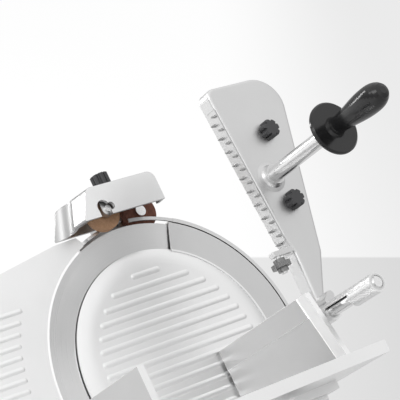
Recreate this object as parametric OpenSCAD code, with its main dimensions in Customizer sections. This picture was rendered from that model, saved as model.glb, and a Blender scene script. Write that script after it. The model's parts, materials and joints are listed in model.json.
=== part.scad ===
// Electric food slicer: a tilted round blade with its cover and guard, a gauge plate set by a dial,
// a sliding carriage with a toothed pusher, and a sharpener over the blade.
// Millimetres. +X is the operator's right, +Y the rear and +Z up; the worktop is Z = 0.
// Most pieces are drawn in the slicing frame, whose axes run along the carriage travel to the rear,
// up the blade plane, and out of the blade's front face, from the blade's centre.

/* [Blade] */
// Blade diameter
blade_d = 300; // [297:1:302]
// Lean of the blade plane from upright, in degrees
blade_tilt = 40; // [39:0.5:41]
// Height of the blade centre above the worktop
blade_centre_h = 240; // [238:1:246]
// Depth of the blade's recessed centre below the edge plane
dish_depth = 6.5; // [6.3:0.1:7]
// Lap of the cover over the blade's recess
cover_lap = 6.5; // [5.5:0.25:7.5]

/* [Blade cover] */
// Diameter of the cover's centre disc
cover_d = 241; // [238:0.5:242]
// Height of the disc's face above the edge plane
cover_rise = 4.5; // [3.5:0.25:5]
// Diameter of the flat part of the face
cover_flat_d = 206; // [202:1:210]
// Polar angle where the rim ends at the top
rim_top_angle = 68; // [66:1:70]
// Distance between the ribs on the face
cover_rib_pitch = 12.75; // [12:0.25:13]
// Number of ribs on the face
cover_rib_count = 16; // [12:2:16]
// Diameter of the circle on which the ribs end
cover_rib_d = 195; // [190:1:198]

/* [Ring guard] */
// Thickness of the guard's wall
ring_t = 4.2; // [3.8:0.2:5]

/* [Gauge plate] */
// Thickness of the gauge plate
gauge_t = 8; // [7:0.5:9]
// Reach of the gauge plate in front of the blade centre
gauge_reach = 285; // [278:1:290]
// Distance of the lower edge below the blade centre
gauge_drop = 105; // [100:1:112]
// Largest slice thickness
slice_max = 15; // [12:0.5:16]
// Distance between the ribs on the gauge plate
gauge_rib_pitch = 11; // [10.5:0.25:12]
// Number of ribs on the gauge plate
gauge_rib_count = 17; // [14:1:17]
// Diameter of the slide bar
gauge_bar_d = 20; // [18:0.5:22]

/* [Thickness dial] */
// Diameter of the dial knob
dial_d = 54; // [48:1:58]
// Height of the dial knob
dial_h = 22; // [18:1:26]
// Diameter of the dial shaft
dial_shaft_d = 10; // [8:0.5:12]
// Largest radius of the snail cam
cam_r = 26; // [25:0.25:27]
// Turn of the dial over the whole slice range, in degrees
dial_turn = 300; // [270:5:320]

/* [Drive] */
// Outer diameter of the blade shaft
shaft_d = 25; // [24:0.5:26]
// Diameter of the shaft bearings
bearing_d = 52; // [50:0.5:54]
// Diameter of the driven pulley
driven_pulley_d = 110; // [106:1:112]
// Diameter of the drive pulley
drive_pulley_d = 36; // [34:1:40]
// Width of both pulleys
pulley_w = 16; // [14:0.5:17]
// Diameter of the motor body
motor_d = 92; // [86:1:94]
// Length of the motor body
motor_len = 72; // [66:1:74]
// Diameter of the tie rod that holds the cover
tie_rod_d = 10; // [9:0.25:10.5]

/* [Tower] */
// Radius of the tower's upper lobe
tower_top_r = 72; // [70:0.5:74]
// Radius of the tower's lower lobe
tower_low_r = 60; // [59:0.5:62]
// Wall thickness of the tower
tower_wall = 6; // [5:0.25:7]
// Depth of the tower behind its front face
tower_depth = 58; // [56:0.5:60]

/* [Base] */
// Reach of the base to the left of the blade centre
base_left = 225; // [215:1:235]
// Reach of the base to the right of the blade centre
base_right = 145; // [144:0.5:147]
// Reach of the base in front of the blade centre
base_front = 255; // [252:1:260]
// Reach of the base behind the blade centre
base_rear = 175; // [172:1:185]
// Height of the base's top face
base_top = 86; // [85:0.5:88]
// Wall thickness of the base
base_wall = 6; // [5:0.25:6.5]
// Radius of the base's upright corners
base_corner_r = 40; // [34:1:46]
// Height of one rubber foot
foot_h = 16; // [14:0.5:18]
// Diameter of one rubber foot
foot_d = 40; // [36:1:44]

/* [Carriage] */
// Diameter of the carriage rail
rail_d = 16; // [15:0.5:18]
// Travel of the carriage to the front
travel_front = 180; // [160:5:184]
// Travel of the carriage to the rear
travel_rear = 60; // [40:5:62]
// Thickness of the tray's floor
tray_t = 4; // [3:0.25:5]
// Distance of the tray's floor below the blade centre
tray_drop = 90; // [86:1:94]
// Gap between the tray and the blade's edge plane
tray_gap = 8; // [7.5:0.25:9]
// Length of the tray's floor away from the blade
tray_len = 222; // [210:1:230]
// Distance of the rear fence's face behind the blade centre
fence_at = 40; // [39:0.25:41]
// Thickness of the fences
fence_t = 7; // [6:0.25:7.5]
// Distance between the fences' faces
tray_w = 240; // [225:1:245]
// Distance of the rear fence's top below the blade centre
fence_top_drop = 6.5; // [6:0.25:8]

/* [Pusher] */
// Diameter of the pusher rod
rod_d = 13; // [12:0.25:13.5]
// Distance of the pusher rod behind the blade centre
rod_at = 64; // [63.5:0.25:65]
// Distance of the pusher rod below the blade centre
rod_drop = 31; // [30:0.25:32]
// Distance of the pusher plate's back from the edge plane
pusher_back = 150; // [149:0.5:154]
// Thickness of the pusher plate
pusher_t = 18; // [16:0.5:19]
// Height of the pusher plate's top above the blade centre
pusher_top = 222; // [218:1:225]
// Distance of the toothed edge behind the blade centre
tooth_edge = 54; // [53:0.25:56]
// Number of teeth in one row
tooth_count = 10; // [8:1:10]
// Distance between the teeth of one row
tooth_pitch = 15; // [14:0.25:15.25]
// Length of one tooth
tooth_h = 6; // [4:0.25:7]
// Outer diameter of the sleeve on the rod
sleeve_d = 20; // [19.5:0.25:21]
// Outer diameter of the slide bushes
slide_bush_d = 16; // [15.5:0.25:16.5]

/* [Handle] */
// Diameter of the handle's rod
handle_rod_d = 16; // [15:0.25:17]
// Distance of the guard disc from the edge plane
guard_at = 256; // [250:1:262]
// Diameter of the guard disc
guard_d = 54; // [50:1:58]
// Length of the grip
grip_len = 79; // [74:1:84]
// Largest diameter of the grip
grip_d = 27; // [25:0.5:29]
// Diameter of the grip's neck
grip_neck_d = 17; // [16:0.5:19]

/* [Knobs] */
// Diameter of the pusher's star knobs
star_d = 20; // [18:0.5:22]
// Height of the star knobs
star_h = 10; // [8:0.5:12]
// Diameter of the knurled nut
nut_d = 20; // [18:0.5:21]
// Diameter of the large black knobs
knob_d = 38; // [34:1:42]
// Height of the large knobs' lobed crown
knob_crown_h = 16; // [14:0.5:18]

/* [Sharpener] */
// Length of the sharpener's front face along its top
sharp_len = 91; // [89:0.5:93]
// Height of the sharpener's front face
sharp_h = 33; // [31:0.5:35]
// Distance of the front face from the edge plane
sharp_face = 30; // [29:0.25:30.5]
// Depth of the housing at its left end
sharp_depth = 50; // [48:0.5:52]
// Depth of the housing at the post
sharp_post_depth = 76; // [74:0.5:78]
// Wall thickness of the housing
sharp_wall = 3.5; // [3:0.1:4]
// Spread of the left end wall from the front to the back
sharp_splay = 10.5; // [9:0.5:12]
// Spread of the left end wall from its top to its foot
sharp_flare = 12.5; // [11:0.5:14]
// Radius of the flute down the left end
flute_r = 20; // [18:0.5:22]
// Width of the keyhole in the front wall
keyhole_d = 15; // [14:0.25:16]
// Diameter of the grinding stone
grind_d = 38; // [34:0.5:39]
// Diameter of the honing stone
hone_d = 40; // [36:0.5:41]
// Thickness of both stones
stone_t = 8; // [7:0.25:8.5]
// Diameter of the sharpener's lock knob
lock_d = 20; // [18:0.5:22]
// Height of the lock knob
lock_h = 28; // [26:0.5:30]

/* [Switches and inlet] */
// Diameter of one push button
button_d = 18; // [16:0.5:20]
// Height of one push button above the panel
button_h = 5; // [4.5:0.25:6]
// Bore of the cable gland
gland_bore_d = 9; // [7:0.25:10]

/* [Fasteners] */
// Diameter of the knobs' studs
stud_d = 6; // [5:0.25:7]

/* [Fits] */
// Radial clearance of running fits
run_fit = 0.05; // [0.03:0.01:0.08]
// Radial clearance of parts that only pass each other
clear_fit = 0.4; // [0.3:0.05:0.6]
// Gap between plates that pass each other
plate_gap = 1; // [0.8:0.1:1.2]

/* [Hidden] */
$fn = 48;
soft_fn = 32;
fine_fn = 96;
eps = 0.01;
cut_over = 1;
seam = 0.3;
seat_gap = 0.02;
rib_root = 1;
knob_gap = plate_gap / 5;

// Smaller sizes that follow from stock and from the castings.
edge_t = 0.4;
bevel_w = 7;
cover_rib_h = 1;
gauge_rib_h = 1;
bottom_t = 2;
flute_depth = 7;
tooth_lean = 3.3;
button_gap = 36;
pusher_edge_r = 3.5;
rim_t = 1.7;
cover_rib_w = 6.5;
gauge_rib_w = 5.5;
blade_t = 3.5;
cover_edge_t = 1.5;
tail_start_angle = 101;
tail_end_angle = 108;
strap_d = 256;
gauge_corner = 20;
gauge_rib_top = 99;
gauge_rib_d = 360;
cam_t = 8;
belt_t = 4;
belt_w = 12;
motor_shaft_d = 12;
base_edge_r = 12;
strip_t = 1.6;
strip_w = 13;
guard_t = 5;
spindle_d = 8;
post_d = 12;
foot_screw_d = 6;
tower_screw_len = 20;
guard_screw_d = 6;
blade_screw_d = 5;
gland_len = 18;
rim_low_angle = -110;
band_end_angle = 86;
ring_plate_t = 4;
gauge_guide_d = 10;
guide_bar_d = 10;
tower_screw_d = 8;
bearing_w = 15;

// Blade, cover and guard along the blade's axis.
blade_r = blade_d / 2;
dish_d = cover_d - 2 * cover_lap;
cover_back = plate_gap - dish_depth;
rim_back = plate_gap - 0.1;
rim_r = blade_r + 1.2;
ring_in_r = rim_r + 1.4;
ring_r = ring_in_r + ring_t;
ring_front = rim_back + rim_t + 0.2;
ring_plate_back = -22;
guard_open_r = 46;
hub_d = 72;
hub_t = 7;
hub_bore_d = 36;
hub_front = -dish_depth - blade_t;
screw_circle_d = 54;

// Tower and drive along the blade's axis.
tower_front = ring_plate_back - seat_gap;
tower_front_wall = 8;
tower_back = tower_front - tower_depth;
tower_foot_h = 8;
tower_foot_d = 26;
tower_places = [for (x = [-112, 70], y = [-62, 87]) [x, y]];
tower_corners = [for (x = [-96, 54], y = [-46, 71]) [x, y]];
tower_corner_r = 24;
bearing_front = tower_front - 2;
pulley_front = bearing_front - 2 * bearing_w - 4;
pulley_mid = pulley_front - pulley_w / 2;
shaft_back = pulley_front - pulley_w - 4;
motor_at = [12, -100];
bracket_front = shaft_back - 2;
bracket_t = 5;
motor_front = bracket_front - bracket_t;
rotor_d = 38;
pillar_d = 12;
pillar_circle_r = tower_low_r - 10;
pillar_angles = [10, 170, 270];
tie_bore_d = tie_rod_d + 2 * clear_fit + 0.4;
knob_boss_d = 34;
knob_boss_back = -168;
knob_boss_len = 34;
tie_knob_neck = 10;

// Screws of the guard, the sharpener's post and the deflector.
guard_screw_places = [[62, 20], [50, -44], [58, -12], [20, 62]];
post_at = [24, -30];
post_low = 120;
post_block = [30, 30, 20];
post_screw_places = [for (side = [-1, 1]) [post_at[0] + 7 * side, post_low + 18]];
guard_thread = 6;
deflector_t = 2;
deflector_tip = -128;
deflector_bend_r = 40;
deflector_w = 68;
deflector_flange_len = 22;
deflector_holes = [-20, 20];
deflector_front = hub_front - 5;
deflector_flange = deflector_tip + deflector_bend_r - deflector_t;
deflector_screw_n = deflector_front - deflector_bend_r - deflector_flange_len / 2;

// Gauge plate, its bars and its dial.
gauge_arc_r = blade_r + 2;
gauge_face = -gauge_rib_h;
gauge_back = gauge_face - gauge_t;
gauge_top = [[-52, 146.5], [-57, 153.5], [-85, 152], [-158, 140]];
gauge_top_end = 125;
bar_at = [-190, -100];
guide_at = [-228, -100];
bar_boss_wall = 8;
guide_boss_wall = 6;
bar_boss_depth = 15;
boss_top = -62;
boss_low = -132;
boss_over = 24;
follower_d = 8;
follower_at = -145;
cam_axis = follower_at - follower_d / 2 - clear_fit - cam_r;
cam_along = bar_at[0] - gauge_bar_d / 2 - 3 - cam_t;
dial_flange_t = 6;

// Base, rail and carriage.
front_face = -base_front;
foot_inset = 44;
foot_places = [for (x = [foot_inset - base_left, base_right - foot_inset],
                    y = [foot_inset - base_front, base_rear - foot_inset]) [x, y]];
foot_recess = 7;
foot_thread = 10;
foot_boss_h = 14;
rail_x = 118;
guide_x = 82;
rail_z = 52;
socket_len = 14;
socket_wall = 7;
slot_h = 32;
well_from = [-100, -50];
well_size = [168, 125];
block_len = 100;
block_w = 34;
block_h = 32;
neck_w = 56;
neck_h = 24;
arm_x = base_right + 6;
arm_t = 24;
arm_head_from = 106;
arm_head_to = 166;
arm_head_t = 8;
tray_knob_z = 215;
tray_knob_stem_d = 8;
tray_knob_neck = 8;
knob_seat = arm_t + 10;
bush_d = rail_d + 8;
bush_len = 24;

// Tray.
floor_low = -tray_drop - tray_t;
fence_h = -fence_top_drop - floor_low;
fence_end = 151;
fence_slant = 12.4;
fence_foot = fence_end + fence_h * tan(fence_slant);
flare_len = 16;
flare_angle = 5;
fence_bead_drop = 29;
front_fence_at = fence_at - tray_w;
front_fence_top = -24;
tray_end = tray_gap + tray_len;
tray_lip_h = 12;
tray_rib_count = 12;
tray_rib_pitch = tray_w / (tray_rib_count + 0.5);
tray_rib_w = 6;
tray_rib_h = 1.2;
rod_boss_d = 26;
rod_boss_len = 20;
rod_seat = tray_gap + 4;
rod_end = 239;
rod_chamfer = 1.5;

// Pusher, in places along the travel and up the blade plane.
pusher_front = pusher_back - pusher_t;
sleeve_low = pusher_back;
sleeve_len = 88;
window_from = 16;
window_len = 36;
window_top = 4;
handle_at = [82.5, 117];
handle_seat = 8;
handle_stud_d = 9;
grip_seat = 30;
bulb_share = 0.7;
foot_share = 0.12;
foot_swell = 2.5;
upper_star_at = [104, 163.5];
lower_star_at = [92.5, 87.5];
stud_at = [47, 145.5];
waist = [94.5, 33];
strip_foot = [68, 58];
leg_top = [72.5, 38];
leg_foot = [69.5, -16];
strip_top = 200;
strip_len = 148;
strip_mid = pusher_back - 7.5;
lug_low = 40;
lug_t = 5;
nut_low = 28;
nut_t = 5;

// Sharpener.
sharp_left = -46;
sharp_right = sharp_left + sharp_len;
sharp_low = 159;
sharp_top = sharp_low + sharp_h;
sharp_back = sharp_face - sharp_depth;
sharp_post_back = sharp_face - sharp_post_depth;
sharp_post_left = -6;
sharp_lean = atan(sharp_flare / sharp_h);
sharp_corner_r = 9;
flute_n = -1;
flute_wall = sharp_left - sharp_flare - sharp_splay * (sharp_face - flute_n) / sharp_depth;
flute_at = flute_wall - (flute_r - flute_depth) / cos(sharp_lean);
keyhole_at = [-31, 168.2];
keyhole_w = 14;
grind_at = [-22, 167.5];
hone_at = [36, 163];
grind_back = 5;
hone_front = -6.8;
spindle_boss_wall = 3.5;
spindle_lug_back = grind_back + stone_t + 3;
spindle_lug_t = 7;

// Switches and inlet.
panel_x = 20;
panel_z = 52;
panel_w = 84;
panel_h = 40;
panel_t = 2;
box_depth = 26;
box_wall = 2;
button_collar = 2;
gland_x = -150;
gland_z = 46;
gland_thread_d = 16;

// The blade's place puts the origin under the machine's middle.
tray_reach_x = tray_end * cos(blade_tilt) - floor_low * sin(blade_tilt);
blade_x = (base_left - tray_reach_x) / 2;
blade_y = (gauge_reach - base_rear - gland_len) / 2;

aluminium = [0.86, 0.87, 0.88];
steel = [0.75, 0.76, 0.78];
chrome = [0.82, 0.83, 0.85];
black = [0.1, 0.1, 0.11];
rubber = [0.16, 0.16, 0.17];
dark = [0.3, 0.31, 0.33];
tan_stone = [0.65, 0.49, 0.37];
brown_stone = [0.43, 0.25, 0.18];
bronze = [0.7, 0.55, 0.35];
green = [0.2, 0.55, 0.3];
red = [0.7, 0.15, 0.13];

// Frames

module machine_frame() {
  translate([blade_x, blade_y, 0]) children();
}

module slicing_frame() {
  translate([blade_x, blade_y, blade_centre_h]) rotate([90 - blade_tilt, 0, 90]) children();
}

// Points its children's +Z along the frame's X.
module to_x() {
  rotate([0, 90, 0]) children();
}

// Points its children's +Z along the frame's Y.
module to_y() {
  rotate([-90, 0, 0]) children();
}

// Puts its children at a flat place and a height.
module put(place, height) {
  translate([place[0], place[1], height]) children();
}

// Puts its children at each of a list of flat places.
module at_each(places, height) {
  for (place = places) put(place, height) children();
}

// Shared shapes

module tube(outer_d, inner_d, height) {
  difference() {
    cylinder(h = height, d = outer_d);
    translate([0, 0, -cut_over]) cylinder(h = height + 2 * cut_over, d = inner_d);
  }
}

// A hole for a shaft or screw of that diameter.
module bore(height, diameter, fit) {
  cylinder(h = height, d = diameter + 2 * fit);
}

// Turns a flat section about Z over part of a circle.
module sweep(from, to) {
  rotate([0, 0, from]) rotate_extrude(angle = to - from) children();
}

// A rib along X with rounded ends, its crest at Z = height over the face it sits on.
module rib(from, to, width, height) {
  rib_r = (width * width / 4 + height * height) / (2 * height);
  length = to - from - width;
  size = 4 * rib_r;
  translate([from + width / 2, 0, height - rib_r]) difference() {
    rotate([0, 90, 0]) rotate_extrude() {
      square([rib_r, length]);
      rib_end(rib_r);
      translate([0, length]) rib_end(rib_r);
    }
    translate([-size / 2, -size / 2, rib_r - height - rib_root - size]) cube([length + size, size, size]);
  }
}

module rib_end(radius) {
  intersection() {
    circle(r = radius);
    translate([0, -radius]) square([radius, 2 * radius]);
  }
}

// A round post on Z = 0 whose top edge is rounded.
module soft_post(radius, height, edge_r) {
  rotate_extrude($fn = soft_fn) {
    square([radius, height - edge_r]);
    square([radius - edge_r, height]);
    translate([radius - edge_r, height - edge_r]) intersection() {
      circle(r = edge_r, $fn = soft_fn);
      square(edge_r);
    }
  }
}

// A lobed knob standing on Z = 0 with a rounded crown.
module lobed_knob(diameter, height, lobes) {
  lobe_r = 0.9 * diameter / lobes;
  core_r = diameter / 2 - 1.25 * lobe_r;
  crown_r = height / 4;
  flat_r = diameter / 2 - lobe_r;
  side_h = height - crown_r;
  intersection() {
    linear_extrude(height) {
      circle(r = core_r);
      for (i = [0 : lobes - 1]) rotate(i * 360 / lobes) translate([flat_r, 0]) circle(r = lobe_r);
    }
    rotate_extrude() {
      square([diameter / 2 + cut_over, side_h]);
      square([flat_r, height]);
      translate([flat_r, side_h]) intersection() {
        circle(r = crown_r);
        square(height);
      }
    }
  }
}

// A cap screw whose head stands on Z = 0 and whose shank goes down.
module cap_screw(shank_d, shank_len) {
  head_h = 0.8 * shank_d;
  difference() {
    cylinder(h = head_h, d = 1.7 * shank_d);
    translate([0, 0, head_h / 2]) cylinder(h = head_h, d = 0.85 * shank_d, $fn = 6);
  }
  translate([0, 0, -shank_len]) cylinder(h = shank_len + eps, d = shank_d);
}

// A flat-headed screw, placed the same way.
module flat_screw(shank_d, shank_len, head_t) {
  cylinder(h = head_t, d = 1.8 * shank_d);
  translate([0, 0, -shank_len]) cylinder(h = shank_len + eps, d = shank_d);
}

// Base

module base_outer() {
  hull() for (x = [base_corner_r - base_left, base_right - base_corner_r],
              y = [base_corner_r - base_front, base_rear - base_corner_r])
    translate([x, y, foot_h]) soft_post(base_corner_r, base_top - foot_h, base_edge_r);
}

// The base's outline moved inwards.
module base_outline(inset) {
  corner_r = base_corner_r - inset;
  size_x = base_left + base_right - 2 * inset;
  size_y = base_front + base_rear - 2 * inset;
  translate([inset - base_left, inset - base_front]) {
    translate([corner_r, 0]) square([size_x - 2 * corner_r, size_y]);
    translate([0, corner_r]) square([size_x, size_y - 2 * corner_r]);
    for (x = [corner_r, size_x - corner_r], y = [corner_r, size_y - corner_r])
      translate([x, y]) circle(r = corner_r);
  }
}

// Bosses on the front and rear walls that hold the end of a rail.
module rail_sockets(x, diameter) {
  for (y = [base_wall - base_front - cut_over, base_rear - base_wall - socket_len + cut_over])
    translate([x, y, rail_z]) to_y() cylinder(h = socket_len, d = diameter + 2 * socket_wall);
}

module rail_bore(x, diameter) {
  translate([x, base_wall - base_front - eps, rail_z]) to_y()
    bore(base_front + base_rear - 2 * base_wall + 2 * eps, diameter, run_fit);
}

// The two bosses in which the gauge plate's bars slide.
module gauge_bosses() {
  put(bar_at, boss_low)
    cylinder(h = boss_top - boss_low, d = gauge_bar_d + 2 * bar_boss_wall);
  put(guide_at, boss_low)
    cylinder(h = boss_top - boss_low, d = gauge_guide_d + 2 * guide_boss_wall);
}

module gauge_boss_bores() {
  length = boss_top - boss_low + boss_over + cut_over;
  put(bar_at, boss_low - boss_over) bore(length, gauge_bar_d, run_fit);
  put(guide_at, boss_low - boss_over) bore(length, gauge_guide_d, run_fit);
}

// Bosses for the feet, each on a web from the nearest wall, and for the tower's screws.
module base_bosses() {
  foot_seat = foot_h + bottom_t;
  boss_d = 16;
  web_t = 8;
  web_len = foot_inset - base_wall + cut_over;
  for (place = foot_places) put(place, foot_seat) {
    cylinder(h = foot_boss_h, d = boss_d);
    translate([-web_t / 2, place[1] < 0 ? -web_len : 0, 0]) cube([web_t, web_len, foot_boss_h]);
  }
  at_each(tower_places, base_top - tower_screw_len)
    cylinder(h = tower_screw_len - base_wall / 2, d = boss_d);
}

module base_cuts() {
  wall_cut = base_wall + 2 * cut_over;
  rail_bore(rail_x, rail_d);
  rail_bore(guide_x, guide_bar_d);
  translate([base_right - base_wall - cut_over, -neck_w / 2 - travel_front - 5, rail_z - slot_h / 2])
    cube([wall_cut, neck_w + travel_front + travel_rear + 10, slot_h]);
  put(well_from, base_top - base_wall - cut_over)
    cube([well_size[0], well_size[1], wall_cut]);
  at_each(tower_places, base_top - tower_screw_len + tower_foot_h)
    bore(tower_screw_len, tower_screw_d, run_fit);
  at_each(foot_places, foot_h) bore(bottom_t + foot_thread + cut_over, foot_screw_d, run_fit);
  for (side = [-1, 1]) translate([panel_x + side * button_gap / 2, front_face - cut_over, panel_z]) to_y()
    cylinder(h = wall_cut, d = button_d + 2 * button_collar + 2);
  translate([gland_x, base_rear - base_wall - cut_over, gland_z]) to_y()
    bore(wall_cut, gland_thread_d, run_fit);
}

module base_casting() {
  color(aluminium) difference() {
    union() {
      machine_frame() {
        difference() {
          base_outer();
          translate([0, 0, foot_h - cut_over])
            linear_extrude(base_top - base_wall - foot_h + cut_over) base_outline(base_wall);
        }
        rail_sockets(rail_x, rail_d);
        rail_sockets(guide_x, guide_bar_d);
        base_bosses();
      }
      slicing_frame() gauge_bosses();
    }
    machine_frame() base_cuts();
    slicing_frame() {
      gauge_boss_bores();
      translate([front_face - cut_over, bar_at[1], cam_axis]) to_x()
        bore(base_wall + 2 * cut_over, dial_shaft_d, run_fit);
    }
  }
}

module bottom_plate() {
  vent_from = [-150, -60];
  vent_size = [60, 5];
  vent_pitch = 12;
  vent_count = 6;
  color(steel) machine_frame() translate([0, 0, foot_h]) difference() {
    linear_extrude(bottom_t) base_outline(base_wall + plate_gap);
    at_each(foot_places, -cut_over) bore(bottom_t + 2 * cut_over, foot_screw_d, clear_fit);
    for (i = [0 : vent_count - 1])
      translate([vent_from[0], vent_from[1] + i * vent_pitch, -cut_over])
        cube([vent_size[0], vent_size[1], bottom_t + 2 * cut_over]);
  }
}

module rubber_feet() {
  foot_r = foot_d / 2;
  bevel = 3;
  taper = 4;
  color(rubber) machine_frame() at_each(foot_places, 0) difference() {
    rotate_extrude()
      polygon([[0, 0], [foot_r - bevel, 0], [foot_r, bevel], [foot_r - taper, foot_h], [0, foot_h]]);
    translate([0, 0, -cut_over]) cylinder(h = foot_recess + cut_over, d = 2.4 * foot_screw_d);
    bore(foot_h + cut_over, foot_screw_d, clear_fit);
  }
}

module foot_screws() {
  color(steel) machine_frame() at_each(foot_places, foot_recess) rotate([180, 0, 0])
    cap_screw(foot_screw_d, foot_h - foot_recess + bottom_t + foot_thread);
}

// Tower and drive

module tower_lobes(inset, from, to) {
  translate([0, 0, to]) cylinder(h = from - to, r = tower_top_r - inset, $fn = soft_fn);
  put(motor_at, to) cylinder(h = from - to, r = tower_low_r - inset, $fn = soft_fn);
}

module tower_footing(inset) {
  at_each(tower_corners, base_top) cylinder(h = tower_foot_h, r = tower_corner_r - inset, $fn = soft_fn);
}

// The tower's outer form, cut flat on the base.
module tower_shell() {
  room = 400;
  difference() {
    intersection() {
      hull() {
        slicing_frame() tower_lobes(0, tower_front, tower_back);
        machine_frame() tower_footing(0);
      }
      machine_frame() translate([-room / 2, -room / 2, base_top]) cube(room);
    }
    hull() {
      slicing_frame() tower_lobes(tower_wall, tower_front - tower_front_wall, tower_back + tower_wall);
      machine_frame() translate([0, 0, -cut_over]) tower_footing(tower_wall);
    }
  }
}

module motor_pillars() {
  for (angle = pillar_angles) translate(motor_at) rotate(angle) translate([pillar_circle_r, 0]) children();
}

module tower_bosses() {
  deflector_boss_len = 24;
  translate([0, 0, bearing_front - 2 * bearing_w]) cylinder(h = 2 * bearing_w, d = bearing_d + 14);
  translate([0, 0, knob_boss_back]) cylinder(h = knob_boss_len, d = knob_boss_d);
  motor_pillars() translate([0, 0, bracket_front])
    cylinder(h = tower_front - tower_front_wall / 2 - bracket_front, d = pillar_d);
  for (up = deflector_holes) translate([deflector_flange + deflector_t, up, deflector_screw_n]) to_x()
    cylinder(h = deflector_boss_len, d = 16);
}

module tower_cuts() {
  bearing_lip = 4;
  thread = guard_thread + cut_over;
  translate([0, 0, bearing_front - 2 * bearing_w - cut_over])
    bore(2 * bearing_w + cut_over, bearing_d, run_fit);
  translate([0, 0, bearing_front - cut_over]) cylinder(h = 6, d = bearing_d - 2 * bearing_lip);
  translate([0, 0, knob_boss_back - cut_over]) bore(knob_boss_len + 2 * cut_over, tie_rod_d, run_fit);
  at_each(guard_screw_places, tower_front - thread) bore(thread + cut_over, guard_screw_d, run_fit);
  motor_pillars() translate([0, 0, bracket_front - cut_over])
    bore(thread + cut_over, guard_screw_d, run_fit);
  for (up = deflector_holes) translate([deflector_flange, up, deflector_screw_n]) to_x()
    bore(deflector_t + 2 * thread, guard_screw_d, run_fit);
}

module motor_tower() {
  head_room = 30;
  color(aluminium) difference() {
    union() {
      tower_shell();
      machine_frame() at_each(tower_places, base_top) cylinder(h = tower_foot_h, d = tower_foot_d);
      slicing_frame() tower_bosses();
    }
    slicing_frame() tower_cuts();
    machine_frame() {
      at_each(tower_places, base_top - cut_over) bore(tower_foot_h + 2 * cut_over, tower_screw_d, clear_fit);
      at_each(tower_places, base_top + tower_foot_h) cylinder(h = head_room, d = tower_foot_d - 6);
    }
  }
}

module tower_screws() {
  color(steel) machine_frame() at_each(tower_places, base_top + tower_foot_h)
    cap_screw(tower_screw_d, tower_screw_len);
}

module motor_bracket() {
  shaft_hole_d = 30;
  plate_h = bracket_t + 2 * cut_over;
  color(steel) slicing_frame() difference() {
    put(motor_at, motor_front)
      cylinder(h = bracket_t, r = tower_low_r - tower_wall - plate_gap);
    put(motor_at, motor_front - cut_over) cylinder(h = plate_h, d = shaft_hole_d);
    motor_pillars() translate([0, 0, motor_front - cut_over]) bore(plate_h, guard_screw_d, clear_fit);
  }
}

module motor_body() {
  fin_count = 16;
  fin_h = 3;
  fin_w = 3;
  end_t = 10;
  cavity_d = rotor_d + 2;
  color(dark) slicing_frame() put(motor_at, motor_front) rotate([180, 0, 0])
    difference() {
      union() {
        cylinder(h = motor_len, d = motor_d - 2 * fin_h);
        cylinder(h = end_t, d = motor_d);
        translate([0, 0, motor_len - end_t - 4]) cylinder(h = end_t - 2, d = motor_d);
        for (i = [0 : fin_count - 1]) rotate(i * 360 / fin_count)
          translate([motor_d / 2 - fin_h - cut_over, -fin_w / 2, end_t - cut_over])
            cube([fin_h + cut_over / 2, fin_w, motor_len - 2 * end_t]);
      }
      translate([0, 0, -cut_over]) cylinder(h = motor_len - 5, d = cavity_d);
      motor_pillar_recess();
    }
}

// Room for the bracket's screw heads, in the motor's turned frame.
module motor_pillar_recess() {
  head_room = 6;
  for (angle = pillar_angles) rotate(-angle) translate([pillar_circle_r, 0, -cut_over])
    cylinder(h = head_room + cut_over, d = 2.4 * guard_screw_d);
}

module motor_rotor() {
  color(steel) slicing_frame() put(motor_at, 0) {
    translate([0, 0, motor_front - motor_len + 8]) cylinder(h = motor_len - 12, d = rotor_d);
    translate([0, 0, motor_front - 10]) cylinder(h = pulley_front - motor_front + 12, d = motor_shaft_d);
  }
}

// A flanged pulley hanging down from Z = 0.
module flanged_pulley(diameter, bore_d) {
  flange_h = 3;
  flange_t = 1.4;
  slope = 0.2;
  pulley_r = diameter / 2;
  translate([0, 0, -pulley_w]) difference() {
    rotate_extrude() polygon([[0, 0], [pulley_r + flange_h, 0], [pulley_r + flange_h, flange_t],
                              [pulley_r, flange_t + slope], [pulley_r, pulley_w - flange_t - slope],
                              [pulley_r + flange_h, pulley_w - flange_t], [pulley_r + flange_h, pulley_w],
                              [0, pulley_w]]);
    translate([0, 0, -cut_over]) bore(pulley_w + 2 * cut_over, bore_d, run_fit);
    children();
  }
}

module drive_pulley() {
  color(dark) slicing_frame() put(motor_at, pulley_front)
    flanged_pulley(drive_pulley_d, motor_shaft_d);
}

module driven_pulley() {
  hole_count = 6;
  hole_d = 18;
  color(dark) slicing_frame() translate([0, 0, pulley_front]) flanged_pulley(driven_pulley_d, shaft_d)
    for (i = [0 : hole_count - 1]) rotate(i * 360 / hole_count)
      translate([driven_pulley_d / 3, 0, -cut_over]) cylinder(h = pulley_w + 2 * cut_over, d = hole_d);
}

module belt_loop(grow, height) {
  hull() {
    cylinder(h = height, d = driven_pulley_d + 2 * grow, $fn = fine_fn);
    translate(motor_at) cylinder(h = height, d = drive_pulley_d + 2 * grow);
  }
}

module drive_belt() {
  color(rubber) slicing_frame() translate([0, 0, pulley_mid - belt_w / 2]) difference() {
    belt_loop(clear_fit + belt_t, belt_w);
    translate([0, 0, -cut_over]) belt_loop(clear_fit, belt_w + 2 * cut_over);
  }
}

module shaft_bearings() {
  race = 4;
  groove = 1.5;
  color(steel) slicing_frame() for (i = [1, 2]) translate([0, 0, bearing_front - i * bearing_w])
    difference() {
      cylinder(h = bearing_w - eps * 10, d = bearing_d);
      translate([0, 0, -cut_over]) bore(bearing_w + 2 * cut_over, shaft_d, run_fit);
      for (z = [-cut_over, bearing_w - groove])
        translate([0, 0, z]) tube(bearing_d - 2 * race, shaft_d + 2 * race, groove + cut_over);
    }
}

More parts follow.
